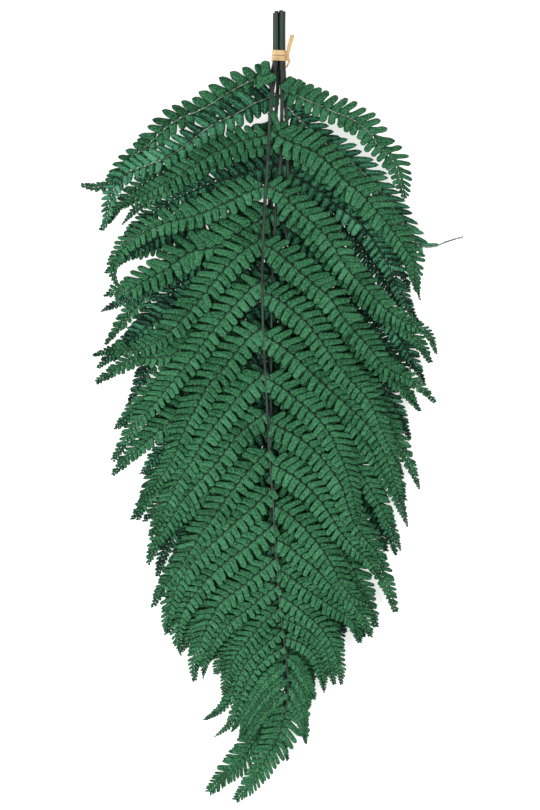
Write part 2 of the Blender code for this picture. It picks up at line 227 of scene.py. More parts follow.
# Each frond: its layer from the table up, its height in the tie, the row where its tip begins,
# half the tip's width, its stem's route, and its pinnae. Each pinna has the row where it leaves
# the stem and the places that its rib passes. A hidden one has only the place of its tip
FRONDS = {
    "frond_1": {
        "layer": 4,
        "tie_height": HIGH_STEM_HEIGHT,
        "tip_row": 702,
        "tip_half_width": 0.0150,
        "route": [(276.4, 10.2), (276.4, 60), (270.8, 104), (268.2, 158), (264.2, 215), (262.4, 262),
                  (262.5, 300), (264, 350), (266.8, 400), (269.2, 450), (273, 500), (275.5, 545),
                  (279, 590), (282.2, 625), (286, 655), (288, 682), (287, 703), (280, 732),
                  (266, 758), (250.5, 783), (236, 799)],
        "left": [
            (136, [(256, 138), (238, 143), (220, 151), (196, 164), (182, 174), (165, 184), (148, 193),
                   (130, 203), (112, 212)]),
            (186, [(247, 193), (223, 205), (198, 215), (167, 223), (143, 233), (126, 246), (117, 259),
                   (113, 272), (117, 285)]),
            (238, [(245, 250), (226, 268), (208, 290), (190, 311), (171, 331), (153, 344), (137, 350),
                   (115, 350), (92, 356)]),
            (282, [(256, 285), (240, 300), (222, 320), (206, 340), (191, 360), (174, 380), (159, 398),
                   (142, 417), (128, 438), (113, 461)]),
            (328, [(253, 334), (239, 349), (222, 370), (206, 389), (194, 412), (183, 433), (173, 459),
                   (160, 479), (139, 502)]),
            (372, [(256, 380), (240, 395), (225, 413), (208, 434), (193, 459), (179, 480), (170, 499),
                   (160, 518), (151, 536)]),
            (412, [(251, 423), (236, 437), (217, 462), (202, 478), (183, 500), (170, 520), (160, 536),
                   (148, 564)]),
            (449, [(259, 459), (242, 478), (226, 498), (210, 522), (202, 532), (190, 552), (176, 572),
                   (163, 589), (153, 607)]),
            (487, [(260, 500), (242, 516), (223, 533), (205, 550), (187, 570), (176, 590), (169, 612),
                   (167, 634)]),
            (523, [(263, 532), (245, 547), (226, 561), (209, 577), (193, 596), (182, 614), (178, 634),
                   (181, 656)]),
            (557, [(257, 573), (239, 588), (220, 603), (208, 624), (200, 645), (195, 663), (195, 680)]),
            (584, [(266, 593), (248, 608), (231, 621), (217, 637), (208, 655), (203, 679)]),
            (606, [(270, 615), (252, 635), (237, 654), (229, 672), (224, 693)]),
            (628, [(275, 635), (260, 648), (247, 661), (238, 678), (232, 694), (222, 708), (203, 720)]),
            (645, [(266, 657), (252, 673), (243, 690), (238, 706), (230, 724), (214, 737)]),
            (661, [(262, 684), (250, 702), (242, 716), (232, 731)]),
            (676, [(240, 736)]),
            (690, [(246, 744)]),
        ],
        "right": [
            (128, [(283, 139), (300, 146), (315, 153), (332, 167), (347, 183), (363, 196), (378, 213),
                   (393, 231), (406, 250), (413, 260), (414, 276), (416, 292)]),
            (186, [(280, 193), (296, 209), (313, 224), (329, 240), (347, 269), (363, 286), (380, 304),
                   (395, 316), (410, 325), (420, 329), (429, 336), (433, 345), (436, 354)]),
            (244, [(276, 252), (295, 268), (313, 284), (329, 297), (341, 315), (356, 333), (372, 351),
                   (380, 362), (392, 371), (405, 377), (418, 386), (435, 403)]),
            (292, [(275, 298), (292, 310), (309, 326), (323, 344), (338, 366), (353, 383), (369, 401),
                   (378, 421), (386, 441), (395, 458), (404, 476)]),
            (335, [(280, 345), (296, 358), (315, 376), (332, 392), (350, 408), (369, 427), (380, 445),
                   (388, 463), (394, 482), (406, 514)]),
            (378, [(280, 386), (296, 399), (313, 413), (329, 433), (338, 451), (346, 470), (351, 487),
                   (354, 503), (359, 522)]),
            (421, [(280, 427), (297, 436), (314, 450), (329, 467), (341, 485), (346, 500), (352, 518),
                   (362, 535), (375, 550), (384, 566)]),
            (463, [(281, 468), (300, 480), (315, 494), (328, 511), (338, 528), (352, 545), (366, 558),
                   (375, 570), (382, 582)]),
            (504, [(281, 508), (300, 523), (317, 542), (331, 563), (341, 583), (352, 596), (362, 601),
                   (375, 605)]),
            (539, [(285, 543), (301, 556), (317, 569), (334, 588), (351, 602), (362, 615), (370, 636)]),
            (568, [(289, 575), (305, 587), (323, 600), (338, 610), (352, 621), (359, 642)]),
            (594, [(289, 600), (305, 613), (320, 626), (332, 645), (338, 662), (341, 684)]),
            (617, [(298, 624), (316, 636), (326, 650), (330, 668), (334, 684)]),
            (636, [(298, 641), (313, 652), (320, 670), (324, 692)]),
            (654, [(297, 664), (306, 680), (314, 698)]),
            (669, [(308, 706)]),
            (683, [(305, 724)]),
            (696, [(305, 740)]),
        ],
    },
    "frond_2": {
        "layer": 3,
        "tie_height": HIGH_STEM_HEIGHT,
        "tip_row": 690,
        "tip_half_width": 0.0165,
        "route": [(281.2, 9.6), (281.2, 60), (282, 104), (280.6, 158), (275.5, 215), (272.5, 273),
                  (271.5, 320), (271, 365), (271, 440), (271, 520), (271, 600), (268, 660),
                  (263, 720), (250.5, 748), (229, 771), (209, 792)],
        "left": [
            (144, [(250, 148), (228, 156), (200, 169), (176, 184), (155, 197), (135, 211), (121, 226)]),
            (212, [(250, 226), (229, 240), (208, 249), (193, 251), (180, 259), (168, 268), (146, 280),
                   (131, 289), (116, 292), (103, 296)]),
            (276, [(240, 300), (212, 325), (190, 345), (172, 355), (157, 358), (140, 358), (124, 366),
                   (110, 374), (96, 383)]),
            (332, [(114, 430)]), (376, [(113, 475)]), (416, [(132, 520)]), (454, [(148, 556)]),
            (492, [(154, 600)]), (527, [(165, 632)]), (560, [(182, 652)]), (588, [(200, 666)]),
            (612, [(216, 674)]), (636, [(228, 692)]), (660, [(238, 714)]),
        ],
        "right": [
            (84, [(293, 93), (304, 99), (316, 104), (327, 109), (338, 114), (349, 118), (360, 125),
                  (369, 133), (376, 143), (384, 152), (392, 161), (397, 170), (400, 181), (402, 190),
                  (404, 201)]),
            (140, [(296, 150), (315, 160), (332, 173), (347, 189), (363, 202), (378, 218), (394, 236),
                   (407, 256), (414, 276), (420, 300)]),
            (200, [(288, 210), (304, 222), (320, 238), (338, 264), (360, 290), (384, 314), (405, 329),
                   (420, 345), (431, 364)]),
            (252, [(285, 264), (300, 278), (316, 292), (330, 306), (345, 325), (360, 343), (374, 360),
                   (390, 378), (405, 392), (420, 412)]),
            (298, [(420, 491)]), (342, [(408, 528)]), (384, [(401, 552)]), (427, [(396, 614)]),
            (468, [(376, 628)]), (508, [(362, 640)]), (542, [(338, 656)]), (573, [(326, 676)]),
            (600, [(312, 688)]), (624, [(302, 700)]), (648, [(294, 714)]),
        ],
    },
    "frond_3": {
        "layer": 2,
        "tie_height": LOW_STEM_HEIGHT,
        "tip_row": 650,
        "tip_half_width": 0.0055,
        "route": [(283.6, 10.4), (283.6, 60), (285.7, 104), (287.5, 158), (286, 230), (284, 300),
                  (283, 400), (284, 500), (288, 600), (294, 660), (300, 705), (306, 744)],
        "left": [
            (164, [(252, 171), (238, 176), (222, 180), (200, 188), (178, 198), (155, 212), (135, 227),
                   (119, 243)]),
            (222, [(240, 243), (205, 258), (170, 274), (140, 291), (118, 303), (100, 312)]),
            (272, [(98, 368)]), (332, [(118, 430)]), (378, [(142, 474)]),
            (422, [(144, 522)]), (463, [(174, 552)]), (500, [(164, 604)]), (534, [(178, 636)]),
            (566, [(194, 650)]), (596, [(213, 660)]), (624, [(233, 684)]),
        ],
        "right": [
            (105, [(295, 115), (303, 123), (312, 132), (321, 141), (335, 150), (352, 163), (370, 180),
                   (386, 198), (398, 215), (408, 232), (420, 246), (432, 247), (448, 241), (466, 236)]),
            (169, [(301, 180), (312, 186), (323, 193), (335, 204), (347, 213), (360, 223), (370, 235),
                   (380, 250), (390, 268), (398, 288), (406, 305), (418, 322)]),
            (228, [(425, 385)]), (282, [(410, 440)]), (332, [(404, 500)]), (378, [(396, 556)]),
            (422, [(372, 574)]), (463, [(358, 606)]), (500, [(364, 638)]), (534, [(340, 650)]),
            (566, [(336, 676)]), (596, [(322, 682)]), (624, [(310, 696)]),
        ],
    },
    "frond_4": {
        "layer": 1,
        "tie_height": LOW_STEM_HEIGHT,
        "tip_row": 632,
        "tip_half_width": 0.0055,
        "route": [(278.8, 11.2), (278.8, 60), (276.7, 104), (270.8, 180), (268, 230), (264, 300),
                  (258, 400), (254, 500), (248, 600), (239, 650), (230, 690), (219, 711), (206, 720)],
        "left": [
            (94, [(264, 99), (252, 104), (241, 111), (220, 121), (206, 129), (183, 147), (161, 160),
                  (144, 166), (126, 173), (118, 181), (112, 193), (108, 208), (106, 222), (101, 230)]),
            (150, [(240, 182), (205, 210), (172, 230), (142, 246), (118, 262), (104, 274)]),
            (203, [(240, 232), (205, 262), (172, 294), (140, 328), (112, 362)]),
            (250, [(128, 406)]), (300, [(136, 460)]), (348, [(138, 520)]),
            (390, [(222, 450), (196, 492), (177, 526), (164, 554), (157, 578)]),
            (430, [(174, 586)]), (470, [(170, 632)]), (508, [(180, 648)]),
            (545, [(192, 656)]), (580, [(209, 664)]), (608, [(224, 680)]),
        ],
        "right": [
            (165, [(298, 183), (322, 203), (343, 226), (360, 249), (378, 272), (394, 294), (404, 316)]),
            (218, [(412, 368)]), (262, [(415, 404)]), (306, [(405, 450)]), (350, [(399, 500)]),
            (393, [(388, 540)]), (436, [(364, 568)]), (478, [(354, 622)]), (517, [(334, 646)]),
            (553, [(312, 672)]), (588, [(292, 694)]),
        ],
    },
    "frond_5": {
        "layer": 0,
        "tie_height": LOW_STEM_HEIGHT,
        "tip_row": 645,
        "tip_half_width": 0.0070,
        "route": [(274.8, 12), (274.8, 60), (271.6, 75), (271, 104), (271, 158), (272, 230),
                  (274, 320), (274, 420), (272, 520), (270, 620), (273, 690), (281, 735), (288, 761)],
        "left": [
            (73, [(258, 77), (235, 88), (203, 108), (174, 121), (149, 143), (126, 163), (116, 175),
                  (106, 185), (95, 187), (79, 184)]),
            (120, [(256, 147), (242, 148), (228, 141), (208, 148), (182, 163), (156, 176), (136, 189),
                   (118, 206), (108, 224)]),
            (168, [(240, 194), (210, 217), (180, 237), (145, 250), (110, 258)]), (213, [(104, 346)]),
            (280, [(240, 298), (205, 322), (178, 342), (152, 360)]),
            (318, [(242, 341), (206, 375), (176, 406), (152, 433), (132, 462)]),
            (365, [(160, 486)]), (412, [(166, 542)]), (466, [(190, 572)]), (506, [(184, 616)]),
            (542, [(198, 644)]), (576, [(212, 660)]), (610, [(230, 682)]),
        ],
        "right": [
            (160, [(300, 173), (330, 192), (358, 214), (382, 240), (400, 266), (410, 292)]),
            (220, [(308, 244), (338, 272), (364, 301), (386, 326), (404, 350)]),
            (276, [(300, 292), (335, 312), (368, 335), (395, 358), (414, 388)]),
            (326, [(300, 342), (335, 362), (365, 385), (390, 405), (408, 432)]),
            (374, [(300, 390), (335, 412), (365, 437), (385, 456), (400, 470)]),
            (420, [(300, 440), (330, 462), (355, 488), (374, 518), (386, 552)]),
            (462, [(362, 552)]), (502, [(350, 594)]),
            (540, [(344, 632)]), (576, [(328, 664)]), (610, [(312, 684)]),
        ],
    },
}
UNDER_SIDE_UP = ("frond_3", "frond_4")


# The stipes and rachises.
# A bracken frond's stem is one stiff tapering stalk, shrivelled into fine grooves as it dries
# and dyed near black. It stays green in its grooves and pale where it was cut.
STEM_STEP = 3.0
RACHIS_END_RADIUS = 0.0006
STEM_SHORTFALL = 6
STEM_SIDES = 5
TIP_THINNING = 0.7
STEM_GROOVE = 0.00022
GROOVES = (900, 45)
KNUCKLES = (120, 110)
STREAKS = 900.0
STALK_COLOURS = [(0.76, "#080c0b"), (0.94, "#232727"), (1.06, "#424246"), (1.20, "#264434")]
# The colour of the painted shade on the stalks' flanks, which leaves their tops paler
STALK_PAINTED_SHADE = "#0b1310"
STALK_ROUGHNESS = 0.5


def stem_place(frond, row):
    """A point of the stem at a row: a smooth curve through the route's points."""
    route = frond["route"]
    if row <= TIE_ROW:
        return on_surface(route[0][0], row)
    last = len(route) - 2
    index = 0
    while index < last and row > route[index + 1][1]:
        index += 1
    before = route[max(index - 1, 0)]
    start = route[index]
    end = route[index + 1]
    after = route[min(index + 2, last + 1)]
    run = end[1] - start[1]
    share = (row - start[1]) / run
    slope_in = (end[0] - before[0]) / (end[1] - before[1]) * run
    slope_out = (after[0] - start[0]) / (after[1] - start[1]) * run
    ease_in = share * (1.0 - share) ** 2
    ease_out = share * share * (share - 1.0)
    blend = smooth_step(share)
    column = start[0] * (1.0 - blend) + end[0] * blend + slope_in * ease_in + slope_out * ease_out
    return on_surface(column, row)


def stalks(name, tubes, sides):
    """A mesh object of several closed stalks, each a line of places with their radii."""
    curve = bpy.data.curves.new(name, "CURVE")
    curve.dimensions = "3D"
    curve.bevel_depth = 1.0
    curve.bevel_resolution = sides
    curve.use_fill_caps = True
    for places, radii in tubes:
        spline = curve.splines.new("POLY")
        spline.points.add(len(places) - 1)
        for point, place, radius in zip(spline.points, places, radii):
            point.co = (*place, 1.0)
            point.radius = radius
    stalk = bpy.data.objects.new(name, curve)
    bpy.context.scene.collection.objects.link(stalk)
    deselect_all()
    stalk.select_set(True)
    bpy.context.view_layer.objects.active = stalk
    bpy.ops.object.convert(target="MESH")
    bpy.ops.object.mode_set(mode="EDIT")
    bpy.ops.mesh.select_all(action="SELECT")
    bpy.ops.mesh.remove_doubles(threshold=0.000005)
    bpy.ops.mesh.normals_make_consistent(inside=False)
    bpy.ops.object.mode_set(mode="OBJECT")
    bpy.ops.object.shade_smooth_by_angle(angle=math.radians(50))
    return stalk


def groove(stalk, depth):
    """Shrivels a stalk into grooves that run along it."""
    for vertex in stalk.data.vertices:
        place = vertex.co
        ridge, knuckle = (noise.noise(Vector((place.x * across, place.y * along, place.z * across)))
                          for across, along in (GROOVES, KNUCKLES))
        vertex.co = place + vertex.normal * depth * (ridge + 0.5 * knuckle)


def mixed_colour(material, factor, first, second):
    """The first colour, turned to the second hex colour by the factor."""
    mix = material.node_tree.nodes.new("ShaderNodeMix")
    mix.data_type = "RGBA"
    material.node_tree.links.new(factor, mix.inputs[0])
    material.node_tree.links.new(first, mix.inputs[6])
    mix.inputs[7].default_value = linear(second)
    return mix.outputs[2]


stalk_dye, shader = new_material("dyed_dry_stalk")
place = add(stalk_dye, "ShaderNodeTexCoord").outputs["Object"]
streak_space = add(stalk_dye, "ShaderNodeMapping", {"Vector": place, "Scale": (1.0, 0.05, 1.0)})
streaks = add(stalk_dye, "ShaderNodeTexNoise",
              {"Vector": streak_space.outputs["Vector"], "Scale": STREAKS, "Detail": 3.0})
patches = add(stalk_dye, "ShaderNodeTexNoise", {"Vector": place, "Scale": 28.0, "Detail": 2.0})
blend = add(stalk_dye, "ShaderNodeMath", {0: streaks.outputs["Fac"], 1: patches.outputs["Fac"]},
            operation="ADD")
stalk_colour = colour_ramp(stalk_dye, blend.outputs["Value"], STALK_COLOURS)
# Painted shade: where the stalk's surface turns away from straight up, its colour darkens towards near
# black, so its top stays paler than its flanks.
facing = add(stalk_dye, "ShaderNodeSeparateXYZ",
             {"Vector": add(stalk_dye, "ShaderNodeTexCoord").outputs["Normal"]})
painted_flank_shade = add(stalk_dye, "ShaderNodeMapRange",
            {"Value": facing.outputs["Z"], "From Min": 0.80, "From Max": 0.35}).outputs["Result"]
stalk_colour = mixed_colour(stalk_dye, painted_flank_shade, stalk_colour, STALK_PAINTED_SHADE)
stalk_dye.node_tree.links.new(stalk_colour, shader.inputs["Base Color"])
shader.inputs["Roughness"].default_value = STALK_ROUGHNESS
bump = add(stalk_dye, "ShaderNodeBump",
           {"Height": streaks.outputs["Fac"], "Strength": 0.35, "Distance": 0.0003})
stalk_dye.node_tree.links.new(bump.outputs["Normal"], shader.inputs["Normal"])

for frond_name, frond in FRONDS.items():
    first_row = frond["route"][0][1]
    last_row = frond["route"][-1][1] - STEM_SHORTFALL
    rows = np.arange(first_row, last_row, STEM_STEP)
    places = []
    radii = []
    for row in rows:
        spot = stem_place(frond, row)
        height = float(layer_height(frond, spot[0], spot[1]))
        thinned = max(0.0, (row - TIE_ROW) / (frond["tip_row"] - TIE_ROW)) ** 0.8
        radius = STEM_RADIUS + (RACHIS_END_RADIUS - STEM_RADIUS) * min(thinned, 1.0)
        if row > frond["tip_row"]:
            radius *= 1.0 - TIP_THINNING * (row - frond["tip_row"]) / (last_row - frond["tip_row"])
        places.append((spot[0], spot[1], height))
        radii.append(radius)
    stem = stalks(frond_name + "_stem", [(places, radii)], STEM_SIDES)
    groove(stem, STEM_GROOVE)
    stem.data.materials.append(stalk_dye)
    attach(stem, "root")
    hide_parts(frond_name)


# The leaflets of bracken: pinnules.
# Each is a thin oblong leaf with a ragged edge and a sunk midvein, joined to the pinna's rib by
# its whole base. Three are modelled: for the two front fronds, for the others, and for the tails.
# Rows are shares of a leaflet's length, and outlines its half width there, base to tip.
FINE_ROWS = (0.0, 0.11, 0.27, 0.48, 0.74, 0.88, 0.96, 1.0)
FINE_OUTLINE = (1.50, 1.32, 1.04, 0.86, 0.85, 0.76, 0.50, 0.12)
PLAIN_ROWS = (0.0, 0.22, 0.46, 0.68, 0.88, 1.0)
PLAIN_OUTLINE = (1.45, 1.02, 0.86, 0.86, 0.66, 0.14)
LOBE_ROWS = (0.0, 0.4, 0.8, 1.0)
LOBE_OUTLINE = (1.40, 0.98, 0.76, 0.20)
TOP_RELIEF = (0.2, 1.0)
UNDER_RELIEF = (-0.9, -0.4)


def pinnule_shape(name, rows, outline, columns=4):
    """One closed leaflet: across -1 to 1, along 0 to 1, and its share of the thickness."""
    deselect_all()
    bpy.ops.mesh.primitive_grid_add(x_subdivisions=columns, y_subdivisions=len(rows) - 1, size=2)
    leaflet = bpy.context.object
    leaflet.name = name
    bpy.ops.object.mode_set(mode="EDIT")
    bpy.ops.mesh.select_all(action="SELECT")
    bpy.ops.mesh.duplicate()
    bpy.ops.mesh.flip_normals()
    bpy.ops.object.mode_set(mode="OBJECT")
    for vertex in leaflet.data.vertices:
        across, along = vertex.co.x, (vertex.co.y + 1.0) / 2.0
        inside = abs(across) < 0.99 and 0.01 < along < 0.99
        if inside:
            at_vein, beside_it = UNDER_RELIEF if vertex.select else TOP_RELIEF
            vertex.co.z = at_vein if abs(across) < 0.1 else beside_it
    bpy.ops.object.mode_set(mode="EDIT")
    bpy.ops.mesh.select_all(action="SELECT")
    bpy.ops.mesh.remove_doubles(threshold=0.0001)
    bpy.ops.object.mode_set(mode="OBJECT")
    points = np.array([vertex.co[:] for vertex in leaflet.data.vertices])
    faces = np.array([polygon.vertices[:] for polygon in leaflet.data.polygons])
    lower = np.array([points[corners][:, 2].mean() < 0.0 for corners in faces])
    across = points[:, 0].copy()
    even = np.linspace(0.0, 1.0, len(rows))
    along = np.interp((points[:, 1] + 1.0) / 2.0, even, rows)
    widths = np.interp(along, rows, outline)
    shape = {"across": across, "width": across * widths, "along": along, "thick": points[:, 2],
             "faces": faces, "lower": lower}
    bpy.data.objects.remove(leaflet)
    return shape


fine_pinnule = pinnule_shape("fine_pinnule", FINE_ROWS, FINE_OUTLINE)
plain_pinnule = pinnule_shape("plain_pinnule", PLAIN_ROWS, PLAIN_OUTLINE)
tail_lobe = pinnule_shape("tail_lobe", LOBE_ROWS, LOBE_OUTLINE, 2)


# Leaf tissue, dyed and preserved in glycerine: matt, soft and slightly leathery.
# The upper side is a cool green with fine forked side veins. On both sides painted shade
# darkens the leaflets' edges where they overlap, standing for the shadows in the slits between them.
# The under side is darker and bluish, freckled by rows of spore cases along its margin.
SIDE_VEINS = 7
MOTTLE_SCALE = 760.0
CLOUD_SCALE = 24.0
MOTTLE_WEIGHT = 2.2
CLOUD_WEIGHT = 0.40
VEIN_WEIGHT = 0.19
MIDVEIN_WEIGHT = 0.12
GRAIN_MIDDLE = 1.41
MIDVEIN_WIDTH = 0.07
SPORE_LINE = 0.28
LEAF_ROUGHNESS = 0.62
LEAF_SPECULAR = 0.22
LEAF_UPPER = [(0.0, "#0f3d22"), (0.35, "#2a6a41"), (0.62, "#3f8258"), (1.0, "#56996c")]
LEAF_UNDER = [(0.0, "#1c5c3e"), (0.40, "#38825a"), (0.70, "#4c9b6f"), (1.0, "#6bb189")]
# The near-black of the painted shade on the edges of overlapping leaflets
PAINTED_SLIT_SHADE = "#020d07"
SPORE_CASES = "#072a20"


def sum_of(material, first, weight, second):
    """The first output times its weight, plus the second."""
    return add(material, "ShaderNodeMath", {0: first, 1: weight, 2: second},
               operation="MULTIPLY_ADD").outputs["Value"]


def leaf_tissue(name, colours, freckled):
    """Dyed leaf tissue, toned leaflet by leaflet, with painted shade on its edges where leaflets overlap."""
    leaf, shader = new_material(name)
    leaf_map = add(leaf, "ShaderNodeUVMap", uv_map="leaflet").outputs["UV"]
    place = add(leaf, "ShaderNodeTexCoord").outputs["Object"]
    tone = add(leaf, "ShaderNodeAttribute", attribute_name="tone").outputs["Fac"]
    slit_shade_strength = add(leaf, "ShaderNodeAttribute", attribute_name="slit_shade_strength").outputs["Fac"]
    split = add(leaf, "ShaderNodeSeparateXYZ", {"Vector": leaf_map})
    from_vein = add(leaf, "ShaderNodeMath", {0: split.outputs["X"], 1: 0.5}, operation="SUBTRACT")
    from_vein = add(leaf, "ShaderNodeMath", {0: from_vein.outputs["Value"]},
                    operation="ABSOLUTE").outputs["Value"]
    slant = sum_of(leaf, from_vein, -0.5, split.outputs["Y"])
    rows = add(leaf, "ShaderNodeMath", {0: slant, 1: 2 * math.pi * SIDE_VEINS}, operation="MULTIPLY")
    veins = add(leaf, "ShaderNodeMath", {0: rows.outputs["Value"]}, operation="SINE").outputs["Value"]
    mottle = add(leaf, "ShaderNodeTexNoise", {"Vector": place, "Scale": MOTTLE_SCALE, "Detail": 2.0,
                                              "Roughness": 0.6}).outputs["Fac"]
    cloud = add(leaf, "ShaderNodeTexNoise",
                {"Vector": place, "Scale": CLOUD_SCALE, "Detail": 1.0}).outputs["Fac"]
    beside_vein = add(leaf, "ShaderNodeMapRange",
                      {"Value": from_vein, "From Min": 0.0, "From Max": MIDVEIN_WIDTH}).outputs["Result"]
    grain = tone
    for pattern, weight in ((mottle, MOTTLE_WEIGHT), (cloud, CLOUD_WEIGHT), (veins, VEIN_WEIGHT),
                            (beside_vein, MIDVEIN_WEIGHT)):
        grain = sum_of(leaf, pattern, weight, grain)
    grain = add(leaf, "ShaderNodeMath", {0: grain, 1: GRAIN_MIDDLE},
                operation="SUBTRACT").outputs["Value"]
    tissue = colour_ramp(leaf, grain, colours)
    if freckled:
        side = add(leaf, "ShaderNodeMath", {0: from_vein, 1: SPORE_LINE},
                   operation="SUBTRACT").outputs["Value"]
        side = add(leaf, "ShaderNodeMath", {0: side, 1: side}, operation="MULTIPLY").outputs["Value"]
        spots = sum_of(leaf, veins, 0.6, sum_of(leaf, side, -25.0, sum_of(leaf, tone, -5.0, mottle)))
        spots = sum_of(leaf, mottle, 9.0, spots)
        spots = add(leaf, "ShaderNodeMapRange", {"Value": spots, "From Min": 1.5, "From Max": 2.1})
        tissue = mixed_colour(leaf, spots.outputs["Result"], tissue, SPORE_CASES)
    # Painted shade: beyond the joined base, each leaflet's rear edge, and its front edge at half strength,
    # is darkened nearly to black. It is scaled by how much the leaflets overlap there, standing for the
    # shadow in the slits between them.
    beyond_base = add(leaf, "ShaderNodeMapRange",
                      {"Value": split.outputs["Y"], "From Min": 0.27, "From Max": 0.44})
    rear_edge_shade = add(leaf, "ShaderNodeMapRange",
                    {"Value": split.outputs["X"], "From Min": 0.16, "From Max": 0.06})
    front_edge_shade = add(leaf, "ShaderNodeMapRange",
                   {"Value": split.outputs["X"], "From Min": 0.95, "From Max": 1.0, "To Max": 0.5})
    edges = add(leaf, "ShaderNodeMath",
                {0: rear_edge_shade.outputs["Result"], 1: front_edge_shade.outputs["Result"]}, operation="MAXIMUM")
    edges = add(leaf, "ShaderNodeMath",
                {0: edges.outputs["Value"], 1: beyond_base.outputs["Result"]}, operation="MULTIPLY")
    edges = add(leaf, "ShaderNodeMath", {0: edges.outputs["Value"], 1: slit_shade_strength}, operation="MULTIPLY")
    tissue = mixed_colour(leaf, edges.outputs["Value"], tissue, PAINTED_SLIT_SHADE)
    leaf.node_tree.links.new(tissue, shader.inputs["Base Color"])
    shader.inputs["Roughness"].default_value = LEAF_ROUGHNESS
    shader.inputs["Specular IOR Level"].default_value = LEAF_SPECULAR
    relief = sum_of(leaf, veins, 0.4, mottle)
    bump = add(leaf, "ShaderNodeBump", {"Height": relief, "Strength": 0.6, "Distance": 0.0003})
    leaf.node_tree.links.new(bump.outputs["Normal"], shader.inputs["Normal"])
    return leaf


leaf_upper = leaf_tissue("leaf_upper_side", LEAF_UPPER, False)
leaf_under = leaf_tissue("leaf_under_side", LEAF_UNDER, True)


# The pinnae: the frond's side branches, each a dark wiry rib with leaflets down both sides.
# A pinna leaves the rachis nearly level, arches over and ends in a long thin tail. Its leaflets
# on the side towards the frond's tip lie over the next pinna, like shingles.
PINNA_BOW = math.radians(17)
LEAF_THICKNESS = 0.00016
RIB_RADIUS = 0.00046
RIB_POINTS = 26
TAIL_WIDTH = 0.05
FIRST_PINNULE = 0.0026
OUTER_ROW = 110
LOBE_LENGTH = 0.0040
BLADE_ROWS = 52
FULL_LENGTH = 0.14
SHORT_LENGTH = 0.055
LEAST_STEP = 0.0012
UNRULY_PLACE = 0.11
TIP_SIDE_REACH = 0.92
STEM_SIDE_REACH = 1.14
# How much lighter the leaflets on a pinna's tip side are, and darker those on its stem side: painted light
# and shade
SIDE_LIGHT_AND_SHADE = 0.06
UNDER_SIDE_FADING = 0.22
LEAFLET_CUP = 0.20
LEAST_HEIGHT = 0.00015
# How a pinna is built: its half width, the step between its leaflets, the share of the step that
# half a leaflet fills, the leaflets' degrees to the rib on the side towards the frond's tip and on
# the side towards its stem, the share of the rib that has leaflets, how late the pinna narrows,
# its tone, its leaflets' bend, how strong the painted shade on their overlapping edges is, how
# pointed they are, how far they swing over towards the pinna's end, and how much the rib thins
HABIT = {"leafy": 1.0, "taper": 2.4, "tone": 0.0, "bend": (0.10, 0.20), "pointed": 0.0, "swing": 0.0,
         "rib_taper": 0.66}
INNER_HABIT = {**HABIT, "half_width": 0.0130, "step": 0.0070, "fill": 0.53, "tip_angle": 92,
               "stem_angle": 70, "slit_shade_strength": 1.0}
OUTER_HABIT = {**HABIT, "half_width": 0.0120, "step": 0.0080, "fill": 0.51, "tip_angle": 84,
               "stem_angle": 78, "bend": (0.14, 0.28), "slit_shade_strength": 0.25, "pointed": 0.3}
FROND_TIP_HABIT = {**HABIT, "step": 0.0058, "fill": 0.53, "tip_angle": 76, "stem_angle": 76,
                   "bend": (0.12, 0.24), "slit_shade_strength": 0.4, "pointed": 0.1}
BLADE_HABIT = {**HABIT, "half_width": 0.0050, "step": 0.0036, "fill": 0.85, "tip_angle": 52,
               "stem_angle": 52, "taper": 3.0, "slit_shade_strength": 0.0, "pointed": 0.1}
UNLIKE_PINNAE = {
    ("frond_1", "left", 136): {"half_width": 0.0098},
    ("frond_2", "left", 144): {"half_width": 0.0098},
    ("frond_1", "right", 128): {"half_width": 0.0130, "taper": 4.0},
    ("frond_2", "right", 84): {"half_width": 0.0124, "taper": 6.0, "fill": 0.51, "step": 0.0074,
                               "pointed": 0.1, "swing": 0.7},
    ("frond_2", "left", 212): {"half_width": 0.0150, "step": 0.0084, "taper": 4.0, "tone": 0.06},
    ("frond_3", "right", 105): {"leafy": 0.82, "half_width": 0.0107, "stem_angle": 58, "tip_angle": 72,
                                "taper": 4.0, "step": 0.0074, "fill": 0.54, "pointed": 0.3,
                                "rib_taper": -0.5},
    ("frond_4", "left", 94): {"half_width": 0.0134, "pointed": 0.2, "rib_taper": 0.9},
    ("frond_5", "left", 73): {"half_width": 0.0121, "step": 0.0090, "fill": 0.53},
}


def width_share(share, tail, taper):
    """A pinna's width along its rib: full near the stem, narrowing to a thin tail."""
    narrowed = max(0.0, 1.0 - (share / tail) ** taper) ** 0.85
    return min(1.0, 0.78 + 2.0 * share) * (TAIL_WIDTH + (1.0 - TAIL_WIDTH) * narrowed)


def bowed_line(root, tip, side):
    """A rib that leaves flatter than its chord and ends steeper."""
    chord = tip - root
    length = np.hypot(*chord)
    reach = length * 0.36
    out = chord / length
    across = np.array((-out[1], out[0])) * side
    first = root + (out * math.cos(PINNA_BOW) + across * math.sin(PINNA_BOW)) * reach
    second = tip - (out * math.cos(PINNA_BOW) - across * math.sin(PINNA_BOW)) * reach
    share = np.linspace(0.0, 1.0, 41)[:, None]
    rest = 1.0 - share
    start = root * rest ** 3 + first * (3.0 * rest * rest * share)
    return start + second * (3.0 * rest * share * share) + tip * share ** 3


def smooth_line(places):
    """A smooth line through places."""
    places = np.array(places)
    steps = np.hypot(*np.diff(places, axis=0).T)
    knots = np.concatenate(((0.0,), np.cumsum(steps)))
    slopes = np.gradient(places, knots, axis=0)
    line = [places[0]]
    for index, step in enumerate(steps):
        for share in np.linspace(0.125, 1.0, 8):
            rest = 1.0 - share
            line.append(places[index] * (1.0 + 2.0 * share) * rest * rest
                        + places[index + 1] * share * share * (3.0 - 2.0 * share)
                        + slopes[index] * step * share * rest * rest
                        - slopes[index + 1] * step * share * share * rest)
    return np.array(line)


